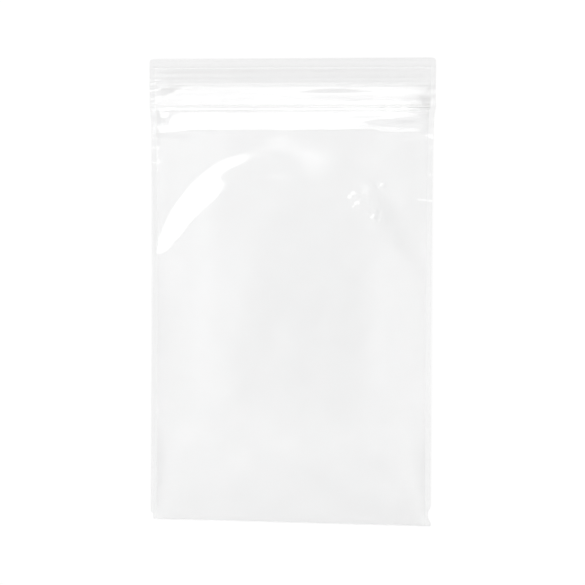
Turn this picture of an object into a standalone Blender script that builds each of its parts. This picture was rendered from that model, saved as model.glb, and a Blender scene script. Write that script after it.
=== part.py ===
"""A clear press-to-close film bag, empty and closed, lying flat with a little air in it.

The bag is one piece. Its film was extruded together with the two halves of the zip, folded at the
bottom and welded along both sides. It lies on its back wall: X runs across the bag, Y up to the
mouth, Z up from the table. The section is drawn as a flat tube, swept across the width, and then
shaped by gap() between the walls, lift() under the side edges and waist() along the sides.
"""

import math

import bmesh
import bpy

MM = 0.001

# Outline of the bag
BAG_WIDTH = 101.6 * MM
ZIP_TO_FOLD = 148.5 * MM
ZIP_TO_TOP = 17.7 * MM
FRONT_LIP_STEP = 3.1 * MM
TOP_CORNER_RADIUS = 1.0 * MM
FILM = 0.05 * MM

# Side welds
WELD_WIDTH = 1.8 * MM
WELD_GRIP = 0.3 * MM
WELD_FLANK = 0.35 * MM
WELD_PROUD = 0.03 * MM
WELD_GAP = 0.05 * MM
WELD_GAP_AT_ZIP = 0.36 * MM
ZIP_CRUSH_REACH = 2.6 * MM

# Zip: an arrow rib on the back wall, pressed into a channel on the front wall
STEM_WIDTH = 0.44 * MM
STEM_HEIGHT = 0.5 * MM
HEAD_WIDTH = 1.0 * MM
HEAD_TIP_WIDTH = 0.5 * MM
HEAD_HEIGHT = 0.44 * MM
ZIP_CLEARANCE = 0.06 * MM
CHANNEL_WALL = 0.6 * MM
CHANNEL_ROOF = 0.26 * MM
CHANNEL_CHAMFER = 0.18 * MM

# Grip rib across the front lip
RIB_TO_TOP = 9.3 * MM
RIB_WIDTH = 1.1 * MM
RIB_CREST = 0.6 * MM
RIB_HEIGHT = 0.16 * MM

# Air between the walls
LIP_GAP = 0.34 * MM
FOLD_GAP = 0.24 * MM
LEDGE_GAP = 2.55 * MM
CORNER_GAP = 0.75 * MM
PILLOW_GAP = 3.1 * MM
LEDGE_RUN = 6.0 * MM
LEDGE_HALF_WIDTH = 18.0 * MM
CORNER_HALF_WIDTH = 46.0 * MM
SHOULDER_RUN = 18.0 * MM
FOLD_RUN = 62.0 * MM
ARCH_BELOW_ZIP = 5.4 * MM
ARCH_CENTRE = -2.5 * MM
ARCH_HALF_WIDTH = 45.0 * MM
ARCH_DROP = 31.0 * MM
ZIP_STIFF_RUN = 45.0 * MM
FOLD_STIFF_RUN = 38.0 * MM
WAIST = 0.8 * MM
WIDEST_WAIST = 0.72
EDGE_LIFT = 0.95 * MM
END_LIFT = 0.08 * MM
LIFT_RUN = 42.0 * MM
FLAT_HALF_WIDTH = 33.0 * MM

# Powers of the curves, and how far the ledge's straight rise is rounded
LEDGE_ROUNDING = 0.35
ARCH_POWER = 1.45
FOLD_POWER = 2.1
BOXY_POWER = 20.0
ROUND_POWER = 4.5

# Worn corners at the ends of the welds
NICK_DEPTH = 1.05 * MM
NICK_LENGTH = 5.2 * MM
NICK_ABOVE_FOLD = 1.5 * MM
STEP_DEPTH = 0.9 * MM
STEP_LENGTH = 3.0 * MM

# Fineness of the mesh
COLUMNS = 24
BODY_ROWS = 24
FOLD_STEPS = 6
CORNER_STEPS = 4
LEAST_ROW_STEP = 0.1 * MM

HALF_WIDTH = BAG_WIDTH / 2
POCKET_HALF_WIDTH = HALF_WIDTH - WELD_WIDTH
FILM_HALF_WIDTH = POCKET_HALF_WIDTH + WELD_GRIP
HOLLOW_HALF_WIDTH = POCKET_HALF_WIDTH - WELD_FLANK
LENGTH = ZIP_TO_FOLD + ZIP_TO_TOP
TOP_Y = LENGTH / 2
FOLD_Y = -LENGTH / 2
ZIP_Y = FOLD_Y + ZIP_TO_FOLD
RIB_Y = TOP_Y - RIB_TO_TOP
FRONT_TOP_Y = TOP_Y - FRONT_LIP_STEP

HEAD_TOP = STEM_HEIGHT + HEAD_HEIGHT
ZIP_GAP = HEAD_TOP + ZIP_CLEARANCE + CHANNEL_ROOF
CAVITY_HALF = HEAD_WIDTH / 2 + ZIP_CLEARANCE
CHANNEL_HALF = CAVITY_HALF + CHANNEL_WALL
FOLD_RADIUS = FILM + ZIP_GAP / 2


def smooth(t):
    """A soft step from 0 to 1 as t goes from 0 to 1."""
    t = min(max(t, 0.0), 1.0)
    return t * t * (3 - 2 * t)


def mix(a, b, t):
    return a + (b - a) * t


def weld_gap(y):
    """Gap between the walls where they enter the welds: least, but for the crushed end of the zip."""
    beyond = (abs(y - ZIP_Y) - CHANNEL_HALF) / ZIP_CRUSH_REACH
    return mix(WELD_GAP_AT_ZIP, WELD_GAP, min(max(beyond, 0.0), 1.0))


def arch_y(x):
    """Upper edge of the air pillow: an arch under the zip."""
    across = abs(x - ARCH_CENTRE) / ARCH_HALF_WIDTH
    return ZIP_Y - ARCH_BELOW_ZIP - ARCH_DROP * across**ARCH_POWER


def ledge_gap(x):
    """Gap under the zip before the pillow starts: full in the middle, fallen in at the corners."""
    outwards = (abs(x) - LEDGE_HALF_WIDTH) / (CORNER_HALF_WIDTH - LEDGE_HALF_WIDTH)
    return mix(LEDGE_GAP, CORNER_GAP, smooth(outwards))


def ledge_rise(t):
    """Course of the front wall from the zip (0) down to the ledge (1), nearly straight."""
    t = min(max(t, 0.0), 1.0)
    return mix(t, smooth(t), LEDGE_ROUNDING)


def middle_gap(x, y):
    """Gap between the walls away from the welds."""
    if y >= ZIP_Y - CHANNEL_HALF:
        rise_run = RIB_Y - ZIP_Y - CHANNEL_HALF
        return mix(LIP_GAP, ZIP_GAP, smooth((RIB_Y - y) / rise_run))
    below = ZIP_Y - CHANNEL_HALF - y
    ledge = mix(ZIP_GAP, ledge_gap(x), ledge_rise(below / LEDGE_RUN))
    pillow = mix(ledge, PILLOW_GAP, smooth((arch_y(x) - y) / SHOULDER_RUN))
    to_fold = min(max((y - FOLD_Y) / FOLD_RUN, 0.0), 1.0)
    return mix(FOLD_GAP, pillow, 1 - (1 - to_fold) ** FOLD_POWER)


def fullness(x, y):
    """Share of the middle gap that is left towards the sides: boxy at the zip, rounded in the body."""
    across = min(abs(x) / HOLLOW_HALF_WIDTH, 1.0)
    from_zip = smooth((ZIP_Y - y) / ZIP_STIFF_RUN)
    from_fold = smooth((y - FOLD_Y) / FOLD_STIFF_RUN)
    power = mix(BOXY_POWER, ROUND_POWER, from_zip * from_fold)
    return 1 - across**power


def gap(x, y):
    """Distance between the inner faces of the walls."""
    edge = weld_gap(y)
    return edge + (max(middle_gap(x, y), edge) - edge) * fullness(x, y)


def lift(x, y):
    """Height of the back wall over the table: flat in the middle, raised at the side edges."""
    from_end = min(y - FOLD_Y - FOLD_RADIUS, ZIP_Y - CHANNEL_HALF - y)
    edge = mix(END_LIFT, EDGE_LIFT, min(max(from_end / LIFT_RUN, 0.0), 1.0))
    outside = (abs(x) - FLAT_HALF_WIDTH) / (HALF_WIDTH - FLAT_HALF_WIDTH)
    return edge * max(outside, 0.0) ** 2


def drawn_in(along):
    """Course of the waist from the fold (0) to the zip (1), most at WIDEST_WAIST."""
    return along**0.9 * (1 - along) ** 0.35


def waist(y):
    """How far each side is drawn in by the air."""
    along = min(max((y - FOLD_Y) / ZIP_TO_FOLD, 0.0), 1.0)
    return WAIST * drawn_in(along) / drawn_in(WIDEST_WAIST)


def shaped(x, y, z):
    """Moves a point of the flat tube to its place on the bag. The film's ends stay in one plane."""
    space = gap(x, y)
    if z > FILM + ZIP_GAP:
        z += space - ZIP_GAP
    elif z > FILM:
        z = FILM + (z - FILM) * space / ZIP_GAP
    if abs(abs(x) - FILM_HALF_WIDTH) > WELD_GRIP / 2:
        x -= waist(y) * x / HALF_WIDTH
    return x, y, z + lift(x, y)


def graded(start, end, count):
    """Places from start to end, closer together at both ends."""
    turns = [0.5 - 0.5 * math.cos(math.pi * i / count) for i in range(count + 1)]
    return [mix(start, end, t) for t in turns]


def even(start, end, count):
    return [mix(start, end, i / count) for i in range(count + 1)]


def in_order(rows):
    """The rows sorted, without those that almost fall on the one before."""
    kept = []
    for y in sorted(rows):
        if not kept or y - kept[-1] > LEAST_ROW_STEP:
            kept.append(y)
    return kept


def back_rows():
    """Y of the rows of the back wall below the zip: its edges rise from the fold and from the zip."""
    low, high = FOLD_Y + FOLD_RADIUS, ZIP_Y - CHANNEL_HALF
    rise = [low, low + LIFT_RUN / 2, low + LIFT_RUN]
    return rise + [high - LIFT_RUN, high - LIFT_RUN / 2, high]


def body_rows():
    """Y of the rows of the front wall below the zip, from the fold up, with those of the back wall."""
    return in_order(back_rows() + graded(FOLD_Y + FOLD_RADIUS, ZIP_Y - CHANNEL_HALF, BODY_ROWS))


def rise_rows():
    """Y of the rows from the zip up to the foot of the grip rib, where the walls draw together."""
    return even(ZIP_Y + CHANNEL_HALF, RIB_Y - RIB_WIDTH / 2, 5)


def fold_arc(radius):
    """The fold at the bottom, from the back wall to the front one."""
    angles = [math.pi * i / FOLD_STEPS for i in range(1, FOLD_STEPS)]
    centre_y = FOLD_Y + FOLD_RADIUS
    return [(centre_y - radius * math.sin(a), FOLD_RADIUS - radius * math.cos(a)) for a in angles]


def rib_crest(base):
    """Top of the low bead across the outer face of the front lip."""
    half = RIB_CREST / 2
    return [(RIB_Y - half, base + RIB_HEIGHT), (RIB_Y + half, base + RIB_HEIGHT)]


def channel_outline(ceiling):
    """Hooked channel under the front wall, from its upper side down to its lower one."""
    tip = FILM + ZIP_CLEARANCE
    hook_top = FILM + STEM_HEIGHT - ZIP_CLEARANCE
    slot_half = STEM_WIDTH / 2 + ZIP_CLEARANCE
    roof = FILM + HEAD_TOP + ZIP_CLEARANCE
    upper = [
        (CHANNEL_HALF, ceiling),
        (CHANNEL_HALF, tip + CHANNEL_CHAMFER),
        (CHANNEL_HALF - CHANNEL_CHAMFER, tip),
        (slot_half, tip),
        (slot_half, hook_top),
        (CAVITY_HALF, hook_top),
        (CAVITY_HALF, roof),
    ]
    lower = [(-y, z) for y, z in reversed(upper)]
    return [(ZIP_Y + y, z) for y, z in upper + lower]


def arrow_outline(base):
    """Arrow rib on the back wall, from its lower side up to its upper one."""
    lower = [
        (-STEM_WIDTH / 2, base),
        (-STEM_WIDTH / 2, base + STEM_HEIGHT),
        (-HEAD_WIDTH / 2, base + STEM_HEIGHT),
        (-HEAD_TIP_WIDTH / 2, base + HEAD_TOP),
    ]
    upper = [(-y, z) for y, z in reversed(lower)]
    return [(ZIP_Y + y, z) for y, z in lower + upper]


def film_outline():
    """Section of the flat tube as (y, z): out along the outer faces, back along the inner ones."""
    ceiling = FILM + ZIP_GAP
    front = ceiling + FILM
    body = body_rows()
    rise = rise_rows()
    above_rib = [RIB_Y + RIB_WIDTH / 2, FRONT_TOP_Y]
    back = back_rows()
    back_lip = [RIB_Y, TOP_Y]

    outer_back = [(y, 0.0) for y in reversed(back + back_lip)]
    outer_front = [(y, front) for y in body + rise] + rib_crest(front)
    outer_front += [(y, front) for y in above_rib]
    inner_front = [(y, ceiling) for y in reversed(rise[1:] + above_rib)]
    inner_front += channel_outline(ceiling) + [(y, ceiling) for y in reversed(body[:-1])]
    inner_back = [(y, FILM) for y in back] + arrow_outline(FILM)
    inner_back += [(y, FILM) for y in back_lip]

    outer = outer_back + fold_arc(FOLD_RADIUS) + outer_front
    inner = inner_front + fold_arc(FOLD_RADIUS - FILM)[::-1] + inner_back
    return outer + inner


def edge_inset(side, y):
    """How far the cut edge of a weld lies inside the full width: round at the top, worn at the foot."""
    into_corner = y - (TOP_Y - TOP_CORNER_RADIUS)
    if into_corner > 0:
        reach = max(TOP_CORNER_RADIUS**2 - into_corner**2, 0.0)
        return TOP_CORNER_RADIUS - math.sqrt(reach)
    above_fold = y - FOLD_Y
    if side > 0:
        along = (above_fold - NICK_ABOVE_FOLD) / NICK_LENGTH
        return NICK_DEPTH * math.sin(math.pi * along) ** 0.5 if 0 < along < 1 else 0.0
    return STEP_DEPTH * smooth((STEP_LENGTH - above_fold) / (0.3 * STEP_LENGTH))


def weld_rows():
    """Y of the rows of a weld: those of the film, and more at the corners."""
    rows = body_rows() + back_rows() + rise_rows() + [RIB_Y, FRONT_TOP_Y]
    rows += [ZIP_Y - CHANNEL_HALF - ZIP_CRUSH_REACH, ZIP_Y + CHANNEL_HALF + ZIP_CRUSH_REACH]
    rows += even(FOLD_Y + NICK_ABOVE_FOLD, FOLD_Y + NICK_ABOVE_FOLD + NICK_LENGTH, 8)
    rows += even(FOLD_Y + 0.7 * STEP_LENGTH, FOLD_Y + STEP_LENGTH, 2)
    quarter = [math.sin(math.pi / 2 * i / CORNER_STEPS) for i in range(CORNER_STEPS)]
    rows += [TOP_Y - TOP_CORNER_RADIUS * (1 - s) for s in quarter]
    rows += [FOLD_Y - WELD_PROUD, FOLD_Y + FOLD_RADIUS / 2]
    return in_order([y for y in rows if y < TOP_Y - LEAST_ROW_STEP]) + [TOP_Y + WELD_PROUD]


def swept(outline, steps):
    """A closed bmesh: the outline's loop extruded through the steps, with both ends filled."""
    bm = bmesh.new()
    loop = [bm.verts.new(point) for point in outline]
    edges = [bm.edges.new((a, b)) for a, b in zip(loop, loop[1:] + loop[:1])]
    bmesh.ops.contextual_create(bm, geom=edges)
    for step in steps:
        grown = bmesh.ops.extrude_edge_only(bm, edges=edges)["geom"]
        points = {g for g in grown if isinstance(g, bmesh.types.BMVert)}
        new_edges = [g for g in grown if isinstance(g, bmesh.types.BMEdge)]
        edges = [e for e in new_edges if points.issuperset(e.verts)]
        bmesh.ops.translate(bm, vec=step, verts=list(points))
    bmesh.ops.contextual_create(bm, geom=edges)
    return bm


def finished(name, bm, collection):
    """The flat shape moved to its place and made an object, with its faces turned outwards."""
    for vertex in bm.verts:
        vertex.co = shaped(*vertex.co)
    bmesh.ops.triangulate(bm, faces=bm.faces, quad_method="SHORT_EDGE")
    bmesh.ops.recalc_face_normals(bm, faces=bm.faces)
    mesh = bpy.data.meshes.new(name)
    bm.to_mesh(mesh)
    bm.free()
    mesh.shade_smooth()
    mesh.set_sharp_from_angle(angle=math.radians(30))
    made = bpy.data.objects.new(name, mesh)
    collection.objects.link(made)
    return made


def new_collection(name):
    made = bpy.data.collections.new(name)
    bpy.context.scene.collection.children.link(made)
    return made


def make_film(collection):
    """Both walls, the fold and the zip, in one sweep across the bag."""
    columns = graded(-HOLLOW_HALF_WIDTH, HOLLOW_HALF_WIDTH, COLUMNS)
    columns = [-FILM_HALF_WIDTH] + columns + [FILM_HALF_WIDTH]
    outline = [(columns[0], y, z) for y, z in film_outline()]
    steps = [(b - a, 0, 0) for a, b in zip(columns, columns[1:])]
    return finished("zipper_bag", swept(outline, steps), collection)


def make_weld(side, collection):
    """One side weld, wrapped round the ends of both walls and of the zip."""
    rows = weld_rows()
    inner, outer = side * POCKET_HALF_WIDTH, side * HALF_WIDTH
    low, high = -WELD_PROUD, FILM + ZIP_GAP + FILM + WELD_PROUD
    corners = [(inner, low), (outer, low), (outer, high), (inner, high)]
    outline = [(x, rows[0], z) for x, z in corners]
    steps = [(0, b - a, 0) for a, b in zip(rows, rows[1:])]
    bm = swept(outline, steps)
    for vertex in bm.verts:
        if abs(vertex.co.x) > FILM_HALF_WIDTH:
            vertex.co.x -= side * edge_inset(side, vertex.co.y)
    weld = finished("weld_right" if side > 0 else "weld_left", bm, collection)
    weld.hide_render = True
    weld.display_type = "WIRE"
    return weld


def clear_film():
    """Clear glossy polyethylene."""
    material = bpy.data.materials.new("clear_film")
    material.use_nodes = True
    shader = material.node_tree.nodes["Principled BSDF"]
    shader.inputs["Base Color"].default_value = (0.93, 0.94, 0.95, 1)
    shader.inputs["Roughness"].default_value = 0.12
    shader.inputs["Metallic"].default_value = 0.0
    shader.inputs["Alpha"].default_value = 0.3
    return material


def main():
    for old in list(bpy.data.objects):
        bpy.data.objects.remove(old, do_unlink=True)
    bag = make_film(new_collection("zipper_bag"))
    joined = new_collection("joined_shapes")
    for side in (-1, 1):
        union = bag.modifiers.new("weld", "BOOLEAN")
        union.operation = "UNION"
        union.solver = "EXACT"
        union.object = make_weld(side, joined)
    bag.data.materials.append(clear_film())


main()
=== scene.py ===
"""Looks of the clear press-to-close bag: its film as a fine mesh, its material, floor, light, camera.

The film is one closed mesh. Its section is drawn as a flat tube of (y, z) points, repeated in columns
across the bag, and each point is then moved to its place: gap() parts the walls, lift() raises the side
edges, waist() draws the sides in, and front_relief() and back_relief() add ripples, creases and dents.
Between the side welds the section is an open C round the pocket; in the welds both walls are one slab.
"""

import math

import bpy
import numpy as np
from mathutils import Euler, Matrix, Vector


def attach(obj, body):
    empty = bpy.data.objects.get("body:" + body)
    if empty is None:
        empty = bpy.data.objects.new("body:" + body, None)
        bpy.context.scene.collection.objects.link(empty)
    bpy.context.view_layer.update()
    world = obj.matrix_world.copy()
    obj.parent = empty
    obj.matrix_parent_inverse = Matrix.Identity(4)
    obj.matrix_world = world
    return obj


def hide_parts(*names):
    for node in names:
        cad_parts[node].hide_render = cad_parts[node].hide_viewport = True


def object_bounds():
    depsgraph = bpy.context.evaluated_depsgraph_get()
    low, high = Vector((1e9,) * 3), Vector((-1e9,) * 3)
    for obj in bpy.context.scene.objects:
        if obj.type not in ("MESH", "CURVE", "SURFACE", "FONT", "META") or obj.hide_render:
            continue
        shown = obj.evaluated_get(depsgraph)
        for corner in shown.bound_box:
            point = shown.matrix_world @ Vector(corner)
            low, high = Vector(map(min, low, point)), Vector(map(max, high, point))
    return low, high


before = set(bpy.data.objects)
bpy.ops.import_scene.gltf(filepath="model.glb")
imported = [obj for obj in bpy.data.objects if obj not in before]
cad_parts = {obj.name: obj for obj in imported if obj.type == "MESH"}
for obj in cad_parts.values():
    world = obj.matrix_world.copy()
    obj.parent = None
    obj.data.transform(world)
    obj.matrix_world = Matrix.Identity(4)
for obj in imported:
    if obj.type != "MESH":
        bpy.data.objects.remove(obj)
cad_low, cad_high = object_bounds()

MM = 0.001

# Outline of the bag, as built
WELD_PROUD = 0.03 * MM
BAG_WIDTH = cad_high.x - cad_low.x
LENGTH = cad_high.y - cad_low.y - 2 * WELD_PROUD
ZIP_TO_TOP = 17.7 * MM
FRONT_LIP_STEP = 3.1 * MM
TOP_CORNER_RADIUS = 1.0 * MM
LIP_CURL = 0.35 * MM
FILM = 0.05 * MM

# Side welds
WELD_WIDTH = 1.8 * MM
WELD_GAP = 0.05 * MM
WELD_GAP_AT_ZIP = 0.36 * MM
ZIP_CRUSH_REACH = 2.6 * MM

# Zip: an arrow rib on the back wall, pressed into a channel on the front wall
STEM_WIDTH = 0.44 * MM
STEM_HEIGHT = 0.5 * MM
HEAD_WIDTH = 1.0 * MM
HEAD_TIP_WIDTH = 0.5 * MM
HEAD_HEIGHT = 0.44 * MM
ZIP_CLEARANCE = 0.06 * MM
CHANNEL_WALL = 0.6 * MM
CHANNEL_ROOF = 0.26 * MM
CHANNEL_CHAMFER = 0.18 * MM

# Grip rib across the front lip
RIB_TO_TOP = 9.3 * MM
RIB_WIDTH = 1.1 * MM
RIB_CREST = 0.6 * MM
RIB_HEIGHT = 0.16 * MM

# Air between the walls
LIP_GAP = 0.34 * MM
FOLD_GAP = 0.24 * MM
LEDGE_GAP = 2.55 * MM
CORNER_GAP = 0.75 * MM
PILLOW_GAP = 3.1 * MM
LEDGE_RUN = 6.0 * MM
LEDGE_HALF_WIDTH = 18.0 * MM
CORNER_HALF_WIDTH = 46.0 * MM
SHOULDER_RUN = 18.0 * MM
FOLD_RUN = 62.0 * MM
ARCH_BELOW_ZIP = 5.4 * MM
ARCH_CENTRE = -2.5 * MM
ARCH_HALF_WIDTH = 45.0 * MM
ARCH_DROP = 31.0 * MM
ZIP_STIFF_RUN = 45.0 * MM
FOLD_STIFF_RUN = 38.0 * MM
WAIST = 0.8 * MM
EDGE_LIFT = 0.95 * MM
END_LIFT = 0.08 * MM
LIFT_RUN = 42.0 * MM
FLAT_HALF_WIDTH = 33.0 * MM

# Powers of the curves, and how far the ledge's straight rise is rounded
LEDGE_ROUNDING = 0.35
ARCH_POWER = 1.45
FOLD_POWER = 2.1
BOXY_POWER = 20.0
ROUND_POWER = 4.5

# Course of the waist: its powers at the fold and at the zip, and where between them it is drawn in most
WAIST_POWERS = (0.9, 0.35)
WIDEST_WAIST = WAIST_POWERS[0] / sum(WAIST_POWERS)

# Worn corners at the ends of the welds
NICK_DEPTH = 1.05 * MM
NICK_LENGTH = 5.2 * MM
NICK_ABOVE_FOLD = 1.5 * MM
STEP_DEPTH = 0.9 * MM
STEP_LENGTH = 3.0 * MM
STEP_SOFTNESS = 0.3

# Pitch of the mesh: across the bag, along it, and finer where creases and lines need it
COLUMN_PITCH = 1.35 * MM
EDGE_COLUMN_PITCH = 0.4 * MM
EDGE_ZONE = 7.0 * MM
GLINT_COLUMNS = (18.0 * MM, 35.0 * MM)
GLINT_ROWS = (24.0 * MM, 40.0 * MM)
GLINT_PITCH = 0.5 * MM
ROW_PITCH = 0.8 * MM
FINE_ROW_PITCH = 0.35 * MM
FINE_ROWS_AT_FOLD = 6.0 * MM
FINE_ROWS_AT_ZIP = 10.0 * MM
LIP_ROW_PITCH = 0.22 * MM
ZIP_ROW_PITCH = 0.12 * MM
BACK_ROW_STRIDE = 2
FOLD_STEPS = 10
WELD_STEPS = 6
SAME_PLACE = 0.01 * MM
SHARP_ANGLE = 40.0

HALF_WIDTH = BAG_WIDTH / 2
POCKET_HALF_WIDTH = HALF_WIDTH - WELD_WIDTH
TOP_Y = LENGTH / 2
FOLD_Y = -LENGTH / 2
ZIP_Y = TOP_Y - ZIP_TO_TOP
ZIP_TO_FOLD = LENGTH - ZIP_TO_TOP
RIB_Y = TOP_Y - RIB_TO_TOP
FRONT_TOP_Y = TOP_Y - FRONT_LIP_STEP

HEAD_TOP = STEM_HEIGHT + HEAD_HEIGHT
ZIP_GAP = HEAD_TOP + ZIP_CLEARANCE + CHANNEL_ROOF
CAVITY_HALF = HEAD_WIDTH / 2 + ZIP_CLEARANCE
CHANNEL_HALF = CAVITY_HALF + CHANNEL_WALL
FOLD_RADIUS = FILM + ZIP_GAP / 2
CEILING = FILM + ZIP_GAP

# Ripples of the walls: wavelengths, heights and how far they take to fade in
BODY_WAVES = 14
BODY_WAVE_LENGTHS = (16.0 * MM, 42.0 * MM)
BODY_WAVE_HEIGHT = 0.02 * MM
BODY_FADE_AT_ZIP = 30.0 * MM
BODY_FADE_AT_FOLD = 14.0 * MM
WELD_WAVES = 7
WELD_WAVE_LENGTHS = (1.7 * MM, 5.5 * MM)
WELD_WAVE_HEIGHT = 0.02 * MM
WELD_WAVE_REACH = 1.5 * MM
WELD_WAVE_POWER = 1.5
LIP_WAVES = 9
LIP_WAVE_LENGTHS = (1.0 * MM, 3.4 * MM)
LIP_WAVE_HEIGHT = 0.003 * MM
LIP_WAVE_FADE = 2.0 * MM

# Patches in which the puckers beside the welds are strong or weak: waves, least share, level and swing
PATCH_WAVES = 5
PATCH_WAVE_LENGTHS = (14.0 * MM, 40.0 * MM)
WEAK_PATCH = 0.2
PATCH_LEVEL = 0.3
PATCH_SWING = 0.35

# Height of the back wall over the table at which those puckers are free to reach their full height
FREE_LIFT = 0.12 * MM

# Slant of the front wall over the zip, and the two fine steps that the zip leaves in it
ZIP_SLANT = 0.16 * MM
ZIP_LINES = (0.8 * MM, -0.3 * MM)
ZIP_LINE_WIDTH = 0.3 * MM
ZIP_LINE_DROP = 0.008 * MM
ZIP_RELIEF_FADE = 0.6

# Creases of the front wall: x and y of both ends, half width and height, in mm; a dent is below zero
CREASES = (
    (-13.9, 58.6, -17.1, 47.3, 0.6, 0.03),
    (18.0, 61.5, 50.5, 61.7, 1.4, 0.25),
    (33.0, 61.6, 50.5, 62.8, 1.4, 0.16),
    (29.0, 56.8, 49.5, 57.0, 1.6, 0.3),
    (-50.5, 57.0, -35.0, 57.0, 1.2, 0.2),
    (-51.0, 57.6, -27.0, 57.6, 4.4, 0.6),
    (-48.4, 67.0, -47.6, 57.0, 1.8, -0.2),
    (-50.0, 59.5, -33.0, 59.5, 3.0, 0.16),
    (-54.0, 62.2, -43.0, 62.2, 1.8, 0.18),
    (-30.0, 41.0, -12.5, 47.5, 2.5, 0.13),
    (-17.0, 42.5, 4.0, 44.6, 4.0, -0.2),
    (-9.0, 50.0, 14.0, 45.4, 3.2, 0.04),
    (-58.0, 64.4, -36.0, 73.0, 2.3, -0.46),
    (-3.0, 70.4, 34.0, 70.4, 1.5, -0.27),
    (43.0, 69.0, 50.5, 69.0, 1.2, -0.17),
)

# Deepest dent of the front wall, as a share of the gap between the walls
DEEPEST_DENT = 0.7

# Crumpled spots of the front wall: x, y, half width, half length and height, in mm
CRUMPLES = (
    (22.8, 32.0, 2.6, 4.6, 0.19),
    (30.2, 28.0, 2.6, 2.2, 0.34),
    (32.0, 38.3, 2.6, 1.2, 0.36),
)
CRUMPLE_WAVES = 6
CRUMPLE_WAVE_LENGTHS = (2.0 * MM, 3.6 * MM)

# Swells of both walls together, in the same terms as the creases
SWELLS = (
    (53.0, 54.2, 46.5, 55.6, 0.6, 0.16),
    (53.0, 41.6, 46.8, 41.6, 0.6, 0.14),
    (54.0, 32.0, 41.0, 33.5, 0.6, 0.14),
    (-62.0, 10.5, -38.0, 10.5, 8.0, 0.6),
)

# Film: pale, with painted shade that greys it below the zip's middle and from above the zip up over the
# lips, in lines between two greys
FILM_COLOUR = (0.93, 0.94, 0.95, 1.0)
PAINTED_SHADE_GREYS = (0.2, 1.0)

# Noises in the film: stretch along the axes, scale per metre and detail, and the levels in use
STREAKS = ((0.04, 1.0, 1.0), 900.0, 3.0)
CLOUD = ((1.0, 1.0, 1.0), 70.0, 4.0)
LIP_STRIPES = ((0.004, 1.0, 0.0), 1500.0, 1.5)
NOISE_LEVELS = (0.3, 0.7)
STRIPE_LEVELS = (0.38, 0.62)

# Gloss of the film, from its smooth streaks to its rough ones, and the share of it that isn't see-through
FILM_IOR = 5.0
FILM_ROUGHNESS = (0.05, 0.15)
STREAK_BUMP = 0.35
STREAK_HEIGHT = 0.01 * MM
FILM_HAZE = (0.06, 0.08)
GRAZING_BLEND = 0.5
GRAZING_POWER = 5.0
FILM_LAYERS_SEEN = 64

# Share of the painted shade's grey in the film's colour, from one height over the zip to the next, in mm
# The painted shade stands in for dark reflections at the zip's steps and on the lips, and dims the highlight
# between zip and rib
PAINTED_SHADE_STEPS = (
    (-1.3, 0.0),
    (-1.0, 0.9),
    (-0.5, 1.0),
    (-0.3, 0.3),
    (0.2, 0.3),
    (0.4, 1.0),
    (0.7, 1.0),
    (1.0, 0.95),
    (7.2, 0.95),
    (8.2, 0.8),
)

# Table: its glow turns from grey to white between two distances, and painted shade dims the glow where the
# bag touches it
FLOOR_REACH = 4.0
FLOOR_LEVEL = -0.1 * MM
FLOOR_COLOUR = 0.15
FLOOR_GLOW = 0.86
FLOOR_GLOW_RUN = (0.25, 1.2)
CONTACT_REACH = 3.0 * MM
CONTACT_LEVELS = (0.5, 0.8)
CONTACT_SHADE = 0.145
CONTACT_SAMPLES = 16

# Room: strength half way up and overhead, and the heights between which the strength changes
ROOM_SIDE = 0.4
ROOM_SIDE_HEIGHTS = (0.2, 0.38)
ROOM_OVERHEAD = 0.42
ROOM_OVERHEAD_HEIGHTS = (0.6, 0.85)

# Patches of the room seen in the film: lean to +X and +Y and reach in degrees, and strength
ROOM_PATCHES = (
    (-4.0, -7.0, 36.0, 1.13),
    (0.0, -30.0, 16.0, -0.8),
    (-4.0, -7.2, 7.5, -0.6),
    (-21.0, -4.0, 12.0, 0.5),
    (11.0, -5.0, 8.0, 0.3),
    (-3.0, 7.5, 14.0, -0.45),
    (-4.0, 9.5, 5.5, 1.05),
)

# Lamps: name, near right corner, turn on plan in degrees, size, height over the table and power
LAMPS = (
    ("key_softbox", (0.08, 0.32), 12.0, (1.5, 1.4), 1.5, 20.0),
    ("card_light", (0.36, 0.3), 0.0, (0.46, 0.9), 1.5, 2.6),
)

# Camera: its place in metres and its turn in degrees
CAMERA_PLACE = (0.0482, 0.0333, 0.4903)
CAMERA_TURN = (-3.816, 5.545, 0.269)
CAMERA_LENS = 85.0
CAMERA_CLIP_START = 0.01


def smooth(t):
    """A soft step from 0 to 1 as t goes from 0 to 1."""
    t = np.clip(t, 0.0, 1.0)
    return t * t * (3 - 2 * t)


def mix(a, b, t):
    """From a to b as t goes from 0 to 1."""
    return a + (b - a) * t


def weld_gap(y):
    """Gap between the walls where they enter the welds: least, but for the crushed end of the zip."""
    beyond = (np.abs(y - ZIP_Y) - CHANNEL_HALF) / ZIP_CRUSH_REACH
    return mix(WELD_GAP_AT_ZIP, WELD_GAP, np.clip(beyond, 0.0, 1.0))


def arch_y(x):
    """Upper edge of the air pillow: an arch under the zip."""
    across = np.abs(x - ARCH_CENTRE) / ARCH_HALF_WIDTH
    return ZIP_Y - ARCH_BELOW_ZIP - ARCH_DROP * across**ARCH_POWER


def ledge_gap(x):
    """Gap under the zip before the pillow starts: full in the middle, fallen in at the corners."""
    outwards = (np.abs(x) - LEDGE_HALF_WIDTH) / (CORNER_HALF_WIDTH - LEDGE_HALF_WIDTH)
    return mix(LEDGE_GAP, CORNER_GAP, smooth(outwards))


def ledge_rise(t):
    """Course of the front wall from the zip (0) down to the ledge (1), nearly straight."""
    t = np.clip(t, 0.0, 1.0)
    return mix(t, smooth(t), LEDGE_ROUNDING)


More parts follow.
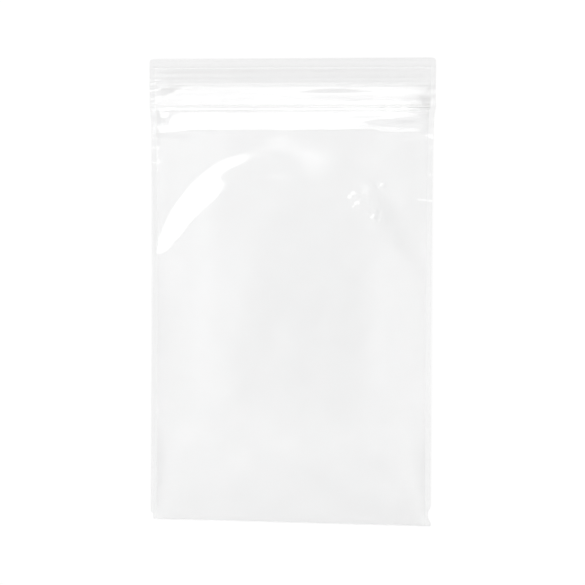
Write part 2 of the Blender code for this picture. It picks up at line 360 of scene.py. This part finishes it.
def middle_gap(x, y):
    """Gap between the walls away from the welds."""
    rise = mix(LIP_GAP, ZIP_GAP, ledge_rise((RIB_Y - y) / (RIB_Y - ZIP_Y - CHANNEL_HALF)))
    below = ZIP_Y - CHANNEL_HALF - y
    ledge = mix(ZIP_GAP, ledge_gap(x), ledge_rise(below / LEDGE_RUN))
    pillow = mix(ledge, PILLOW_GAP, smooth((arch_y(x) - y) / SHOULDER_RUN))
    to_fold = np.clip((y - FOLD_Y) / FOLD_RUN, 0.0, 1.0)
    return np.where(below > 0, mix(FOLD_GAP, pillow, 1 - (1 - to_fold) ** FOLD_POWER), rise)


def fullness(x, y):
    """Share of the middle gap that is left towards the sides: boxy at the zip, rounded in the body."""
    across = np.minimum(np.abs(x) / POCKET_HALF_WIDTH, 1.0)
    from_zip = smooth((ZIP_Y - y) / ZIP_STIFF_RUN)
    from_fold = smooth((y - FOLD_Y) / FOLD_STIFF_RUN)
    power = mix(BOXY_POWER, ROUND_POWER, from_zip * from_fold)
    return 1 - across**power


def gap(x, y):
    """Distance between the inner faces of the walls."""
    edge = weld_gap(y)
    return edge + (np.maximum(middle_gap(x, y), edge) - edge) * fullness(x, y)


def lift(x, y):
    """Height of the back wall over the table: flat in the middle, raised at the side edges."""
    from_end = np.minimum(y - FOLD_Y - FOLD_RADIUS, ZIP_Y - CHANNEL_HALF - y)
    edge = mix(END_LIFT, EDGE_LIFT, np.clip(from_end / LIFT_RUN, 0.0, 1.0))
    outside = (np.abs(x) - FLAT_HALF_WIDTH) / (HALF_WIDTH - FLAT_HALF_WIDTH)
    return edge * np.maximum(outside, 0.0) ** 2


def drawn_in(along):
    """Course of the waist from the fold (0) to the zip (1), most at WIDEST_WAIST."""
    at_fold, at_zip = WAIST_POWERS
    return along**at_fold * (1 - along) ** at_zip


def waist(y):
    """How far each side is drawn in by the air."""
    along = np.clip((y - FOLD_Y) / ZIP_TO_FOLD, 0.0, 1.0)
    return WAIST * drawn_in(along) / drawn_in(WIDEST_WAIST)


def edge_inset(x, y):
    """How far the cut edge of a weld lies inside the full width: round at the top, worn at the foot."""
    into_corner = np.clip(y - (TOP_Y - TOP_CORNER_RADIUS), 0.0, TOP_CORNER_RADIUS)
    corner = TOP_CORNER_RADIUS - np.sqrt(TOP_CORNER_RADIUS**2 - into_corner**2)
    above_fold = y - FOLD_Y
    along = np.clip((above_fold - NICK_ABOVE_FOLD) / NICK_LENGTH, 0.0, 1.0)
    nick = NICK_DEPTH * np.sqrt(np.sin(np.pi * along).clip(0.0))
    step = STEP_DEPTH * smooth((STEP_LENGTH - above_fold) / (STEP_SOFTNESS * STEP_LENGTH))
    return corner + np.where(x > 0, nick, step)


class Waves:
    """A sum of sine waves with seeded lengths, directions and phases."""

    def __init__(self, seed, count, lengths, along_y=False):
        draw = np.random.default_rng(seed)
        pitch = 2 * np.pi / draw.uniform(*lengths, count)
        turn = np.full(count, np.pi / 2) if along_y else draw.uniform(0, np.pi, count)
        self.ways = np.stack([pitch * np.cos(turn), pitch * np.sin(turn)])
        self.phases = draw.uniform(0, 2 * np.pi, count)

    def __call__(self, x, y):
        return sum(np.sin(x * a + y * b + c) for a, b, c in zip(*self.ways, self.phases))


FRONT_WAVES = Waves(3, BODY_WAVES, BODY_WAVE_LENGTHS)
BACK_WAVES = Waves(5, BODY_WAVES, BODY_WAVE_LENGTHS)
LEFT_WAVES = Waves(7, WELD_WAVES, WELD_WAVE_LENGTHS, along_y=True)
RIGHT_WAVES = Waves(8, WELD_WAVES, WELD_WAVE_LENGTHS, along_y=True)
PATCHES = Waves(9, PATCH_WAVES, PATCH_WAVE_LENGTHS, along_y=True)
LIP_LINES = Waves(11, LIP_WAVES, LIP_WAVE_LENGTHS, along_y=True)
CRUMPLING = Waves(13, CRUMPLE_WAVES, CRUMPLE_WAVE_LENGTHS)


def crease(x, y, x0, y0, x1, y1, half_width, height):
    """A low ridge along the line from one point to another, highest in the middle."""
    run = math.hypot(x1 - x0, y1 - y0)
    along = ((x - x0) * (x1 - x0) + (y - y0) * (y1 - y0)) / run**2
    across = ((x - x0) * (y1 - y0) - (y - y0) * (x1 - x0)) / run
    return height * np.exp(-((across / half_width) ** 2)) * np.maximum(4 * along * (1 - along), 0.0)


def in_body(y):
    """1 in the body of the bag, fading to 0 at the zip and at the fold."""
    return smooth((ZIP_Y - y) / BODY_FADE_AT_ZIP) * smooth((y - FOLD_Y) / BODY_FADE_AT_FOLD)


def weld_ripple(x, y):
    """Puckers of both walls beside the welds."""
    from_weld = POCKET_HALF_WIDTH - np.abs(x)
    near = np.exp(-(np.maximum(from_weld, 0.0) / WELD_WAVE_REACH) ** WELD_WAVE_POWER)
    waves = np.where(x > 0, RIGHT_WAVES(x, y), LEFT_WAVES(x, y))
    patchy = mix(WEAK_PATCH, 1.0, smooth(PATCH_LEVEL + PATCH_SWING * PATCHES(x, y)))
    return WELD_WAVE_HEIGHT * waves * near * patchy


def lip_lines(y):
    """Fine lines that the film's extrusion left along the lips and the zip."""
    return LIP_WAVE_HEIGHT * LIP_LINES(0.0, y) * smooth((y - ZIP_Y + CHANNEL_HALF) / LIP_WAVE_FADE)


def zip_relief(y):
    """Slant of the wall over the zip, which settles on the ledge, with two fine steps across it."""
    up = y - ZIP_Y
    slant = -ZIP_SLANT * np.clip(up / (2 * CHANNEL_HALF), -0.5, 0.5)
    from_ledge = smooth((up + LEDGE_RUN) / (LEDGE_RUN - CHANNEL_HALF))
    from_rib = smooth((RIB_Y - ZIP_Y - up) / (RIB_Y - ZIP_Y) / ZIP_RELIEF_FADE)
    steps = sum(smooth((line - up) / ZIP_LINE_WIDTH) for line in ZIP_LINES)
    return (slant - ZIP_LINE_DROP * steps) * (from_ledge * from_rib)


def lip_curl(y):
    """Both lips stand up a little from the table towards the mouth."""
    return LIP_CURL * np.maximum(y - RIB_Y, 0.0) / (TOP_Y - RIB_Y)


def ridges(x, y, spots):
    """Creases or swells together, from their table in mm."""
    return sum(crease(x, y, *(MM * value for value in spot)) for spot in spots)


def crumples(x, y):
    """Small crumpled spots."""
    total = 0.0
    for x0, y0, half_width, half_length, height in CRUMPLES:
        away = ((x / MM - x0) / half_width) ** 2 + ((y / MM - y0) / half_length) ** 2
        total = total + height * MM * np.exp(-(away**2))
    return total * CRUMPLING(x, y) / CRUMPLE_WAVES


def front_relief(x, y):
    """Ripples, creases and lines of the front wall."""
    waves = BODY_WAVE_HEIGHT * FRONT_WAVES(x, y) * in_body(y)
    folds = ridges(x, y, CREASES) + crumples(x, y)
    return (waves + zip_relief(y)) * fullness(x, y) + lip_lines(y) + folds


def back_relief(x, y):
    """Ripples of the back wall where it isn't pressed flat on the table.

    They don't fade out beside the welds, where they reach up to 0.05 mm into the front wall.
    """
    return BODY_WAVE_HEIGHT * (BACK_WAVES(x, y) + BODY_WAVES / 2).clip(0.0) * in_body(y) / 2


def placed(points):
    """Moves points of the flat tube, as rows of x, y and z, to their places on the bag."""
    x, y, z = points.T
    space = gap(x, y)
    between = FILM + (z - FILM) * space / ZIP_GAP
    height = np.where(z > CEILING, z + space - ZIP_GAP, np.where(z > FILM, between, z))
    of_front = np.clip((z - FILM) / ZIP_GAP, 0.0, 1.0)
    relief = np.maximum(front_relief(x, y), -DEEPEST_DENT * space)
    height = height + of_front * relief + (1 - of_front) * back_relief(x, y)
    height = height + weld_ripple(x, y) * smooth(lift(x, y) / FREE_LIFT)
    in_weld = np.clip((np.abs(x) - POCKET_HALF_WIDTH) / WELD_WIDTH, 0.0, 1.0)
    x = x - np.sign(x) * (in_weld * edge_inset(x, y) + waist(y) * np.abs(x) / HALF_WIDTH)
    both = lift(x, y) + lip_curl(y) + ridges(x, y, SWELLS)
    return np.stack([x, y, height + both], axis=1)


def evenly(start, end, pitch):
    """Places from start to end, about a pitch apart."""
    return np.linspace(start, end, max(round(abs(end - start) / pitch), 1) + 1)


def chained(*runs):
    """Runs of places joined into one, without those that a run shares with the one before."""
    joined = list(runs[0])
    for run in runs[1:]:
        joined += [value for value in run if abs(value - joined[-1]) > SAME_PLACE]
    return joined


def body_rows():
    """Y of the rows of the front wall from the fold up to the zip, finer at both ends and at the glints."""
    low, high = FOLD_Y + FOLD_RADIUS, ZIP_Y - CHANNEL_HALF
    coarse_from, coarse_to = low + FINE_ROWS_AT_FOLD, high - FINE_ROWS_AT_ZIP
    return chained(
        evenly(low, coarse_from, FINE_ROW_PITCH),
        evenly(coarse_from, GLINT_ROWS[0], ROW_PITCH),
        evenly(*GLINT_ROWS, GLINT_PITCH),
        evenly(GLINT_ROWS[1], coarse_to, ROW_PITCH),
        evenly(coarse_to, high, FINE_ROW_PITCH),
    )


def back_rows():
    """Y of the rows of the back wall, every so many of the front wall's."""
    rows = body_rows()
    return rows[:-1:BACK_ROW_STRIDE] + rows[-1:]


def inner_rows():
    """Y of the rows of the inner face of the front wall: the outer face's where it is creased."""
    return [y for y in back_rows() if y < GLINT_ROWS[0]] + [y for y in body_rows() if y >= GLINT_ROWS[0]]


def fold_arc(radius):
    """The fold at the bottom, from the back wall to the front one."""
    angles = [math.pi * i / FOLD_STEPS for i in range(1, FOLD_STEPS)]
    centre_y = FOLD_Y + FOLD_RADIUS
    return [(centre_y - radius * math.sin(a), FOLD_RADIUS - radius * math.cos(a)) for a in angles]


def channel_outline():
    """Hooked channel under the front wall, from its upper side down to its lower one."""
    tip = FILM + ZIP_CLEARANCE
    hook_top = FILM + STEM_HEIGHT - ZIP_CLEARANCE
    slot_half = STEM_WIDTH / 2 + ZIP_CLEARANCE
    roof = FILM + HEAD_TOP + ZIP_CLEARANCE
    upper = [
        (CHANNEL_HALF, CEILING),
        (CHANNEL_HALF, tip + CHANNEL_CHAMFER),
        (CHANNEL_HALF - CHANNEL_CHAMFER, tip),
        (slot_half, tip),
        (slot_half, hook_top),
        (CAVITY_HALF, hook_top),
        (CAVITY_HALF, roof),
    ]
    lower = [(-y, z) for y, z in reversed(upper)]
    return [(ZIP_Y + y, z) for y, z in upper + lower]


def arrow_outline():
    """Arrow rib on the back wall, from its lower side up to its upper one."""
    lower = [
        (-STEM_WIDTH / 2, FILM),
        (-STEM_WIDTH / 2, FILM + STEM_HEIGHT),
        (-HEAD_WIDTH / 2, FILM + STEM_HEIGHT),
        (-HEAD_TIP_WIDTH / 2, FILM + HEAD_TOP),
    ]
    upper = [(-y, z) for y, z in reversed(lower)]
    return [(ZIP_Y + y, z) for y, z in lower + upper]


def outer_outline():
    """From the top of the back lip down the outside, round the fold and up to the top of the front lip."""
    front = CEILING + FILM
    back = chained(back_rows(), evenly(ZIP_Y - CHANNEL_HALF, TOP_Y, ROW_PITCH))
    rib_foot, rib_crest = RIB_WIDTH / 2, RIB_CREST / 2
    points = [(y, 0.0) for y in reversed(back)] + fold_arc(FOLD_RADIUS)
    points += [(y, front) for y in body_rows()]
    points += [(y, front) for y in evenly(ZIP_Y - CHANNEL_HALF, ZIP_Y + CHANNEL_HALF, ZIP_ROW_PITCH)[1:]]
    points += [(y, front) for y in evenly(ZIP_Y + CHANNEL_HALF, RIB_Y - rib_foot, FINE_ROW_PITCH)[1:]]
    points += [(RIB_Y - rib_crest, front + RIB_HEIGHT), (RIB_Y + rib_crest, front + RIB_HEIGHT)]
    points += [(y, front) for y in evenly(RIB_Y + rib_foot, FRONT_TOP_Y, LIP_ROW_PITCH)]
    return points


def inner_outline():
    """From the top of the front lip down the inside, round the fold and up to the foot of the back lip.

    It comes in runs, so that pocket_caps() can tell them apart.
    """
    return [
        [(y, CEILING) for y in evenly(FRONT_TOP_Y, ZIP_Y + CHANNEL_HALF, FINE_ROW_PITCH)[:-1]],
        channel_outline(),
        [(y, CEILING) for y in reversed(inner_rows()[:-1])],
        fold_arc(FOLD_RADIUS - FILM)[::-1],
        [(y, FILM) for y in back_rows()],
        arrow_outline(),
        [(y, FILM) for y in evenly(ZIP_Y + CHANNEL_HALF, FRONT_TOP_Y, ROW_PITCH)[:-1]],
    ]


def bridge(ring, first, second):
    """Triangles between two runs of a ring of (y, z) points that face each other across its turn."""
    near, far = first[::-1], second
    away = [[abs(ring[place][0] - ring[near[0]][0]) for place in run] + [math.inf] for run in (near, far)]
    triangles = []
    i = j = 0
    while i + j < len(near) + len(far) - 2:
        if away[0][i + 1] <= away[1][j + 1]:
            triangles.append((near[i + 1], near[i], far[j]))
            i += 1
        else:
            triangles.append((near[i], far[j], far[j + 1]))
            j += 1
    return triangles


def pocket_caps(runs, ring):
    """Small faces, as places in the ring, that fill it where the pocket ends at the welds.

    The ring is the runs of the inner outline, with one point of the outer outline before them and one of
    the lip after them.
    """
    starts = [1]
    for run in runs:
        starts.append(starts[-1] + len(run))
    channel, front, fold, back, arrow, back_lip, end = starts[1:]
    pocket = bridge(ring, list(range(front - 1, fold)), list(range(back, arrow)))
    mouth = bridge(ring, list(range(channel + 1)), list(range(back_lip, end + 1)))
    turn = list(range(fold - 1, back + 1))
    zip_end = list(range(channel, front)) + list(range(arrow - 1, back_lip + 1))
    return pocket + mouth + [turn, zip_end]


def weld_caps(ring):
    """Small faces, as places in the ring of the outer outline and the lip, that fill a weld's cut edge."""
    # The ring runs down the back wall to its lowest point on the table, round the fold and up the front wall
    back = 1 + min(range(len(ring)), key=lambda place: (ring[place][1] > 0, ring[place][0]))
    front = back + FOLD_STEPS - 1
    strip = bridge(ring, list(range(back)), list(range(front, len(ring))))
    return strip + [list(range(back - 1, front + 1))]


def lip_outline():
    """Upper face of the back lip, above the front one."""
    return [(y, FILM) for y in evenly(FRONT_TOP_Y, TOP_Y, FINE_ROW_PITCH)]


def film_columns():
    """X of the columns between the welds, closer together at both sides and at the glints."""
    side = POCKET_HALF_WIDTH - EDGE_ZONE
    return chained(
        evenly(-POCKET_HALF_WIDTH, -side, EDGE_COLUMN_PITCH),
        evenly(-side, GLINT_COLUMNS[0], COLUMN_PITCH),
        evenly(*GLINT_COLUMNS, GLINT_PITCH),
        evenly(GLINT_COLUMNS[1], side, COLUMN_PITCH),
        evenly(side, POCKET_HALF_WIDTH, EDGE_COLUMN_PITCH),
    )


def weld_columns():
    """X of the columns of the right weld beyond the pocket."""
    return evenly(POCKET_HALF_WIDTH, HALF_WIDTH, WELD_WIDTH / WELD_STEPS)[1:]


def film_mesh():
    """The whole bag as one closed mesh."""
    outer, lip = outer_outline(), lip_outline()
    runs = inner_outline()
    inner = [point for run in runs for point in run]
    films, welds = film_columns(), list(weld_columns())
    columns = [-x for x in reversed(welds)] + films + welds
    points, film_loops, weld_loops, faces = [], [], [], []
    for x in columns:
        start = len(points)
        parts = [outer, inner if abs(x) <= POCKET_HALF_WIDTH else [], lip]
        points += [(x, y, z) for part in parts for y, z in part]
        film_loops.append(list(range(start, len(points))))
        weld_loops.append(film_loops[-1][: len(outer)] + film_loops[-1][-len(lip):])

    def skin(loop_a, loop_b):
        """Faces between two like loops of neighbouring columns."""
        ends = list(range(1, len(loop_a))) + [0]
        faces.extend((loop_b[i], loop_b[j], loop_a[j], loop_a[i]) for i, j in enumerate(ends))

    def cap(loop, cells, way):
        """Faces that close one end, turned over where way is -1."""
        faces.extend(tuple(loop[place] for place in cell[::way]) for cell in cells)

    first_film, last_film = len(welds), len(welds) + len(films) - 1
    for i in range(len(columns) - 1):
        kind = film_loops if first_film <= i < last_film else weld_loops
        skin(kind[i], kind[i + 1])
    pocket_cells = pocket_caps(runs, outer[-1:] + inner + lip[:1])
    weld_cells = weld_caps(outer + lip)
    for end, column, way in ((first_film, 0, 1), (last_film, -1, -1)):
        cap(film_loops[end][len(outer) - 1 : len(outer) + len(inner) + 1], pocket_cells, way)
        cap(weld_loops[column], weld_cells, way)
    mesh = bpy.data.meshes.new("clear_bag_film")
    mesh.from_pydata(placed(np.array(points)).tolist(), [], faces)
    return mesh


def map_range(nodes, value, low, high, to_low, to_high, soft=False):
    """Value mapped from low..high to to_low..to_high."""
    node = nodes.new("ShaderNodeMapRange")
    node.interpolation_type = "SMOOTHSTEP" if soft else "LINEAR"
    for name, number in zip(("From Min", "From Max", "To Min", "To Max"), (low, high, to_low, to_high)):
        node.inputs[name].default_value = number
    nodes.id_data.links.new(value, node.inputs["Value"])
    return node.outputs["Result"]


def worked_out(nodes, operation, first, second):
    """A Math node on two sockets, or on a socket and a number."""
    node = nodes.new("ShaderNodeMath")
    node.operation = operation
    for socket, value in zip(node.inputs, (first, second)):
        if isinstance(value, (int, float)):
            socket.default_value = value
        else:
            nodes.id_data.links.new(value, socket)
    return node.outputs[0]


def noise(nodes, stretch, scale, detail):
    """Noise over the bag's own coordinates, in metres, stretched along the axes."""
    links = nodes.id_data.links
    place = nodes.new("ShaderNodeTexCoord")
    mapping = nodes.new("ShaderNodeMapping")
    mapping.inputs["Scale"].default_value = stretch
    texture = nodes.new("ShaderNodeTexNoise")
    texture.inputs["Scale"].default_value = scale
    texture.inputs["Detail"].default_value = detail
    links.new(place.outputs["Object"], mapping.inputs["Vector"])
    links.new(mapping.outputs[0], texture.inputs["Vector"])
    return texture.outputs["Fac"]


def painted_shade_share(nodes):
    """Share of the painted shade's grey in the film's colour, by the height over the zip."""
    links = nodes.id_data.links
    place = nodes.new("ShaderNodeTexCoord")
    split = nodes.new("ShaderNodeSeparateXYZ")
    links.new(place.outputs["Object"], split.inputs[0])
    low, high = (ZIP_Y + PAINTED_SHADE_STEPS[end][0] * MM for end in (0, -1))
    ramp = nodes.new("ShaderNodeValToRGB")
    links.new(map_range(nodes, split.outputs["Y"], low, high, 0.0, 1.0), ramp.inputs[0])
    for i, (up, share) in enumerate(PAINTED_SHADE_STEPS):
        along = (ZIP_Y + up * MM - low) / (high - low)
        stop = ramp.color_ramp.elements[0] if i == 0 else ramp.color_ramp.elements.new(along)
        stop.position = along
        stop.color = (share, share, share, 1.0)
    return ramp.outputs["Color"]


def clear_film():
    """Clear low-density film: glossy, faintly hazy, with fine streaks along the zip's direction, and greyed
    by painted shade over the zip and lips.
    """
    material = bpy.data.materials.new("clear_film")
    material.use_nodes = True
    nodes, links = material.node_tree.nodes, material.node_tree.links
    shader = nodes["Principled BSDF"]
    output = nodes["Material Output"]
    streaks, cloud, stripes = (noise(nodes, *pattern) for pattern in (STREAKS, CLOUD, LIP_STRIPES))
    colour = nodes.new("ShaderNodeMix")
    colour.data_type = "RGBA"
    colour.inputs["A"].default_value = FILM_COLOUR
    # Painted shade: the film's colour greys over the zip, the band above it and the lips
    links.new(painted_shade_share(nodes), colour.inputs["Factor"])
    links.new(map_range(nodes, stripes, *STRIPE_LEVELS, *PAINTED_SHADE_GREYS), colour.inputs["B"])
    links.new(colour.outputs["Result"], shader.inputs["Base Color"])
    shader.inputs["IOR"].default_value = FILM_IOR
    links.new(map_range(nodes, streaks, *NOISE_LEVELS, *FILM_ROUGHNESS), shader.inputs["Roughness"])
    bump = nodes.new("ShaderNodeBump")
    bump.inputs["Strength"].default_value = STREAK_BUMP
    bump.inputs["Distance"].default_value = STREAK_HEIGHT
    links.new(streaks, bump.inputs["Height"])
    links.new(bump.outputs[0], shader.inputs["Normal"])
    through = nodes.new("ShaderNodeBsdfTransparent")
    facing = nodes.new("ShaderNodeLayerWeight")
    facing.inputs["Blend"].default_value = GRAZING_BLEND
    grazing = worked_out(nodes, "POWER", facing.outputs["Facing"], GRAZING_POWER)
    haze = map_range(nodes, cloud, *NOISE_LEVELS, *FILM_HAZE)
    share = worked_out(nodes, "MAXIMUM", haze, grazing)
    joined = nodes.new("ShaderNodeMixShader")
    links.new(share, joined.inputs[0])
    links.new(through.outputs[0], joined.inputs[1])
    links.new(shader.outputs[0], joined.inputs[2])
    links.new(joined.outputs[0], output.inputs["Surface"])
    return material


def make_bag():
    """The film as one piece in place of the CAD solid."""
    mesh = film_mesh()
    bag = bpy.data.objects.new("clear_bag", mesh)
    bpy.context.scene.collection.objects.link(bag)
    mesh.shade_smooth()
    mesh.set_sharp_from_angle(angle=math.radians(SHARP_ANGLE))
    mesh.materials.append(clear_film())
    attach(bag, "root")
    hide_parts("zipper_bag")


def seen_share(nodes):
    """1 for rays from the camera, from mirrors and through glass, which see the background, else 0."""
    path = nodes.new("ShaderNodeLightPath")
    direct = worked_out(nodes, "MAXIMUM", path.outputs["Is Camera Ray"], path.outputs["Is Glossy Ray"])
    return worked_out(nodes, "MAXIMUM", direct, path.outputs["Is Transmission Ray"])


def make_floor():
    """A pale table that runs out into white, keeps the bag's shadow, and has painted shade in its glow under
    the bag.
    """
    mesh = bpy.data.meshes.new("floor")
    signs = ((-1, -1), (1, -1), (1, 1), (-1, 1))
    corners = [(x * FLOOR_REACH, y * FLOOR_REACH, FLOOR_LEVEL) for x, y in signs]
    mesh.from_pydata(corners, [], [(0, 1, 2, 3)])
    floor = bpy.data.objects.new("floor", mesh)
    bpy.context.scene.collection.objects.link(floor)
    material = bpy.data.materials.new("pale_table")
    material.use_nodes = True
    nodes, links = material.node_tree.nodes, material.node_tree.links
    nodes.remove(nodes["Principled BSDF"])
    matt = nodes.new("ShaderNodeBsdfDiffuse")
    matt.inputs["Color"].default_value = (FLOOR_COLOUR, FLOOR_COLOUR, FLOOR_COLOUR, 1)
    place = nodes.new("ShaderNodeTexCoord")
    distance = nodes.new("ShaderNodeVectorMath")
    distance.operation = "LENGTH"
    links.new(place.outputs["Object"], distance.inputs[0])
    level = map_range(nodes, distance.outputs["Value"], *FLOOR_GLOW_RUN, FLOOR_GLOW, 1.0, soft=True)
    shade = nodes.new("ShaderNodeAmbientOcclusion")
    shade.samples = CONTACT_SAMPLES
    shade.inputs["Distance"].default_value = CONTACT_REACH
    # Painted shade: the glow is dimmed by ambient occlusion where the bag lies on the table
    contact = map_range(nodes, shade.outputs["AO"], *CONTACT_LEVELS, 1.0 - CONTACT_SHADE, 1.0)
    glow = nodes.new("ShaderNodeEmission")
    seen = worked_out(nodes, "MULTIPLY", seen_share(nodes), level)
    links.new(worked_out(nodes, "MULTIPLY", seen, contact), glow.inputs["Strength"])
    both = nodes.new("ShaderNodeAddShader")
    links.new(matt.outputs[0], both.inputs[0])
    links.new(glow.outputs[0], both.inputs[1])
    links.new(both.outputs[0], nodes["Material Output"].inputs["Surface"])
    mesh.materials.append(material)


def make_world():
    """A pale room: white round the horizon, greyer half way up, softly mottled overhead."""
    world = bpy.data.worlds.new("pale_room")
    bpy.context.scene.world = world
    world.use_nodes = True
    nodes, links = world.node_tree.nodes, world.node_tree.links
    place = nodes.new("ShaderNodeTexCoord")
    split = nodes.new("ShaderNodeSeparateXYZ")
    links.new(place.outputs["Generated"], split.inputs[0])
    up = split.outputs["Z"]
    side = map_range(nodes, up, *ROOM_SIDE_HEIGHTS, 1.0, ROOM_SIDE, soft=True)
    over = map_range(nodes, up, *ROOM_OVERHEAD_HEIGHTS, 0.0, ROOM_OVERHEAD - ROOM_SIDE, soft=True)
    level = worked_out(nodes, "ADD", side, over)
    for across, along, reach, strength in ROOM_PATCHES:
        towards = (math.tan(math.radians(across)), math.tan(math.radians(along)), 1.0)
        length = math.hypot(*towards)
        aim = nodes.new("ShaderNodeVectorMath")
        aim.operation = "DOT_PRODUCT"
        aim.inputs[1].default_value = [value / length for value in towards]
        links.new(place.outputs["Generated"], aim.inputs[0])
        edge = math.cos(math.radians(reach))
        patch = map_range(nodes, aim.outputs["Value"], edge, 1.0, 0.0, strength)
        level = worked_out(nodes, "ADD", level, patch)
    links.new(level, nodes["Background"].inputs["Color"])


def make_softbox(name, corner, turn, size, height, power):
    """A level soft lamp over the bag, given by its near right corner and its turn on plan."""
    data = bpy.data.lights.new(name, "AREA")
    data.shape = "RECTANGLE"
    data.size, data.size_y = size
    data.energy = power
    lamp = bpy.data.objects.new(name, data)
    angle = math.radians(turn)
    to_centre = (-size[0] / 2, size[1] / 2)
    lamp.location = (
        corner[0] + to_centre[0] * math.cos(angle) - to_centre[1] * math.sin(angle),
        corner[1] + to_centre[0] * math.sin(angle) + to_centre[1] * math.cos(angle),
        height,
    )
    lamp.rotation_euler = (0, 0, angle)
    bpy.context.scene.collection.objects.link(lamp)


def make_camera():
    """The camera at the photo's angle."""
    data = bpy.data.cameras.new("camera")
    data.lens = CAMERA_LENS
    data.clip_start = CAMERA_CLIP_START
    camera = bpy.data.objects.new("camera", data)
    camera.location = CAMERA_PLACE
    camera.rotation_euler = Euler([math.radians(turn) for turn in CAMERA_TURN], "XYZ")
    bpy.context.scene.collection.objects.link(camera)
    bpy.context.scene.camera = camera


make_bag()
make_floor()
make_world()
for lamp in LAMPS:
    make_softbox(*lamp)
make_camera()
bpy.context.scene.view_settings.view_transform = "Standard"
bpy.context.scene.cycles.transparent_max_bounces = FILM_LAYERS_SEEN
